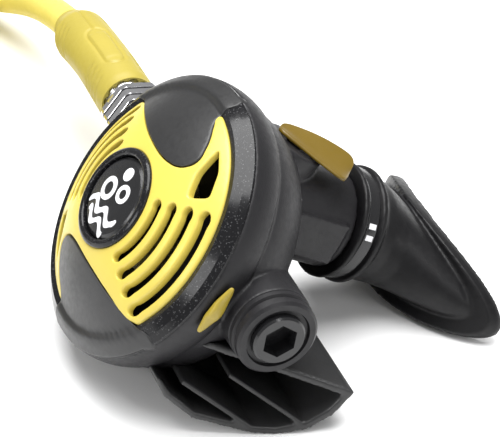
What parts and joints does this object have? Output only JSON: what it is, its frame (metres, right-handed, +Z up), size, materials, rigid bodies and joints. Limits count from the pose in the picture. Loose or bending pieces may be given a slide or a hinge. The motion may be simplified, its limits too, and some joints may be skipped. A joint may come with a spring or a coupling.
{
  "type": "scuba regulator second stage",
  "caption": "Round demand-valve case with a slotted yellow cover, purge button, mouthpiece, exhaust scoop, thumb lever and a coiled yellow hose.",
  "frame": {"origin": "middle of the footprint of the regulator, on the surface that it lies on, without the hose and its fittings", "axes": "+X from the hose side to the plug side along the valve barrel, +Y towards the mouthpiece, +Z up; the case leans back 40 degrees about X"},
  "size_m": [0.2784, 0.1935, 0.0692],
  "materials": {
    "case_plastic": "fine matte texture",
    "ring_gloss": "glossy, fine speckle",
    "yellow_plastic": "satin",
    "grey_plastic": "smooth satin",
    "mark_white": "smooth print",
    "black_silicone": "soft matte",
    "black_rubber": "matte",
    "chrome": "polished",
    "plated_brass": "machined",
    "steel": "brushed",
    "yellow_hose": "satin outer sheath",
    "tie_plastic": "glossy"
  },
  "bodies": {
    "case": {"case_shell": "case_plastic", "exhaust_scoop": "case_plastic", "barrel_cap": "case_plastic", "hex_plug": "case_plastic", "cover_ring": "ring_gloss", "cover_grille": "yellow_plastic", "top_shield": "grey_plastic", "lower_inset": "grey_plastic", "purge_bezel": "grey_plastic", "purge_spring": "steel", "diaphragm": "black_silicone", "valve_barrel": "plated_brass", "orifice_nozzle": "plated_brass", "poppet_spring": "steel", "cap_o_ring": "black_rubber", "exhaust_valve": "black_silicone", "mouthpiece": "black_silicone", "mouthpiece_tie": "tie_plastic", "tie_head": "tie_plastic", "swivel_nut": "chrome", "hose_ferrule": "chrome", "hose_sleeve": "yellow_hose", "hose_tube": "yellow_hose", "hose_coil": "yellow_hose", "hose_tail": "yellow_hose", "far_ferrule": "chrome", "lp_fitting": "chrome", "lp_o_ring": "black_rubber"},
    "purge": {"purge_button": "grey_plastic", "purge_emblem": "mark_white"},
    "diaphragm_centre": {"diaphragm_plate": "steel"},
    "lever": {"demand_lever": "steel"},
    "poppet": {"poppet": "plated_brass", "poppet_seat": "black_rubber", "lever_nut": "steel"},
    "venturi": {"venturi_lever": "yellow_plastic", "venturi_shaft": "case_plastic"},
    "lock": {"lock_tab": "yellow_plastic"}
  },
  "joints": [
    {"name": "purge_press", "type": "slide", "parent": "case", "child": "purge", "axis": [0, 0.766, -0.6428], "range_m": [0, 0.004], "stiffness_N_per_m": 600, "deforming": ["purge_spring"]},
    {"name": "diaphragm_travel", "type": "slide", "parent": "case", "child": "diaphragm_centre", "axis": [0, 0.766, -0.6428], "range_m": [0, 0.004], "deforming": ["diaphragm"]},
    {"name": "lever_tilt", "type": "hinge", "parent": "case", "child": "lever", "pos_m": [0.02072, -0.02, 0.03369], "axis": [0, -0.6428, -0.766], "range_deg": [0, 11.75]},
    {"name": "poppet_slide", "type": "slide", "parent": "case", "child": "poppet", "axis": [1, 0, 0], "range_m": [0, 0.0013], "deforming": ["poppet_spring"]},
    {"name": "venturi_swing", "type": "hinge", "parent": "case", "child": "venturi", "pos_m": [0.00472, 0.00674, 0.05172], "axis": [0, 0.6428, 0.766], "range_deg": [0, 62.8]},
    {"name": "lock_tab_pull", "type": "slide", "parent": "case", "child": "lock", "axis": [1, 0, 0], "range_m": [0, 0.003]}
  ],
  "couplings": [
    {"joint": "diaphragm_travel", "follows": "purge_press", "ratio": 1},
    {"joint": "lever_tilt", "follows": "purge_press", "rad_per_m": 51.25},
    {"joint": "poppet_slide", "follows": "purge_press", "ratio": 0.325}
  ]
}
